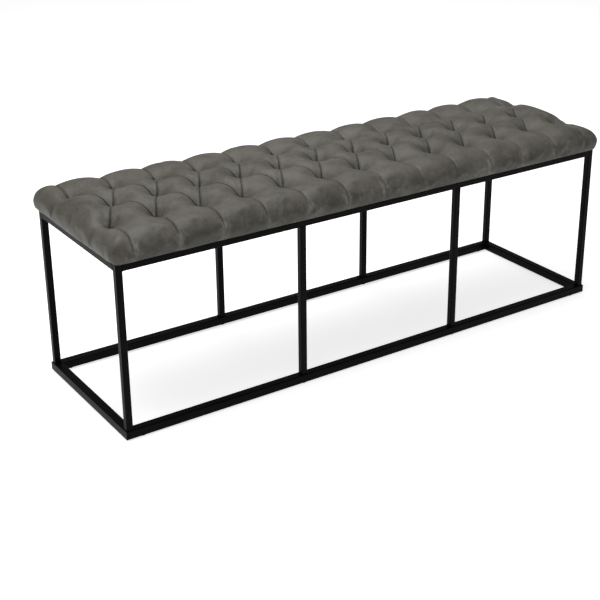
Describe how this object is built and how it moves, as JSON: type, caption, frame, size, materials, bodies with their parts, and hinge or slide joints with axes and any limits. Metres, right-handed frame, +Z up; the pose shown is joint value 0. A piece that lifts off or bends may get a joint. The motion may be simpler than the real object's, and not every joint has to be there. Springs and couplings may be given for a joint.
{
  "type": "entryway bench",
  "caption": "Long low entryway bench: a diamond-tufted grey leather seat on an open black square-tube frame with base rails, corner legs and posts along the sides.",
  "frame": {"origin": "on the floor, under the middle of the bench, level with the undersides of the glides", "axes": "+X along the bench to the right as seen from the front, +Y from the front to the back, +Z up"},
  "size_m": [1.327, 0.398, 0.451],
  "materials": {
    "black_powder_coat": "satin powder coat on steel tube",
    "zinc_plated_steel": "bright zinc plate",
    "black_nylon": "matt",
    "plywood": "raw, sanded",
    "black_cambric": "non-woven cloth",
    "seat_foam": "open-cell polyurethane foam",
    "polyester_batting": "fluffy polyester wadding",
    "grey_leather": "satin, distressed grey",
    "waxed_twine": "waxed"
  },
  "bodies": {
    "root": {"base_rail_front": "black_powder_coat", "base_rail_back": "black_powder_coat", "base_rail_left": "black_powder_coat", "base_rail_right": "black_powder_coat", "leg_front_left": "black_powder_coat", "leg_front_right": "black_powder_coat", "leg_back_left": "black_powder_coat", "leg_back_right": "black_powder_coat", "post_front_left": "black_powder_coat", "post_front_right": "black_powder_coat", "post_back_left": "black_powder_coat", "post_back_right": "black_powder_coat", "top_rail_front": "black_powder_coat", "top_rail_back": "black_powder_coat", "top_rail_left": "black_powder_coat", "top_rail_right": "black_powder_coat", "seat_tab_front_left": "black_powder_coat", "seat_tab_front_middle": "black_powder_coat", "seat_tab_front_right": "black_powder_coat", "seat_tab_back_left": "black_powder_coat", "seat_tab_back_middle": "black_powder_coat", "seat_tab_back_right": "black_powder_coat", "seat_tab_left_end": "black_powder_coat", "seat_tab_right_end": "black_powder_coat", "seat_bolt_front_left": "zinc_plated_steel", "seat_bolt_front_middle": "zinc_plated_steel", "seat_bolt_front_right": "zinc_plated_steel", "seat_bolt_back_left": "zinc_plated_steel", "seat_bolt_back_middle": "zinc_plated_steel", "seat_bolt_back_right": "zinc_plated_steel", "seat_bolt_left_end": "zinc_plated_steel", "seat_bolt_right_end": "zinc_plated_steel", "threaded_insert_front_left": "zinc_plated_steel", "threaded_insert_front_middle": "zinc_plated_steel", "threaded_insert_front_right": "zinc_plated_steel", "threaded_insert_back_left": "zinc_plated_steel", "threaded_insert_back_middle": "zinc_plated_steel", "threaded_insert_back_right": "zinc_plated_steel", "threaded_insert_left_end": "zinc_plated_steel", "threaded_insert_right_end": "zinc_plated_steel", "glide_front_left": "black_nylon", "glide_front_mid_left": "black_nylon", "glide_front_mid_right": "black_nylon", "glide_front_right": "black_nylon", "glide_back_left": "black_nylon", "glide_back_mid_left": "black_nylon", "glide_back_mid_right": "black_nylon", "glide_back_right": "black_nylon", "seat_board": "plywood", "dust_cover": "black_cambric", "foam_pad": "seat_foam", "batting": "polyester_batting", "leather_cover": "grey_leather", "tufting_twine_front": "waxed_twine", "tufting_twine_middle": "waxed_twine", "tufting_twine_back": "waxed_twine"}
  },
  "joints": []
}
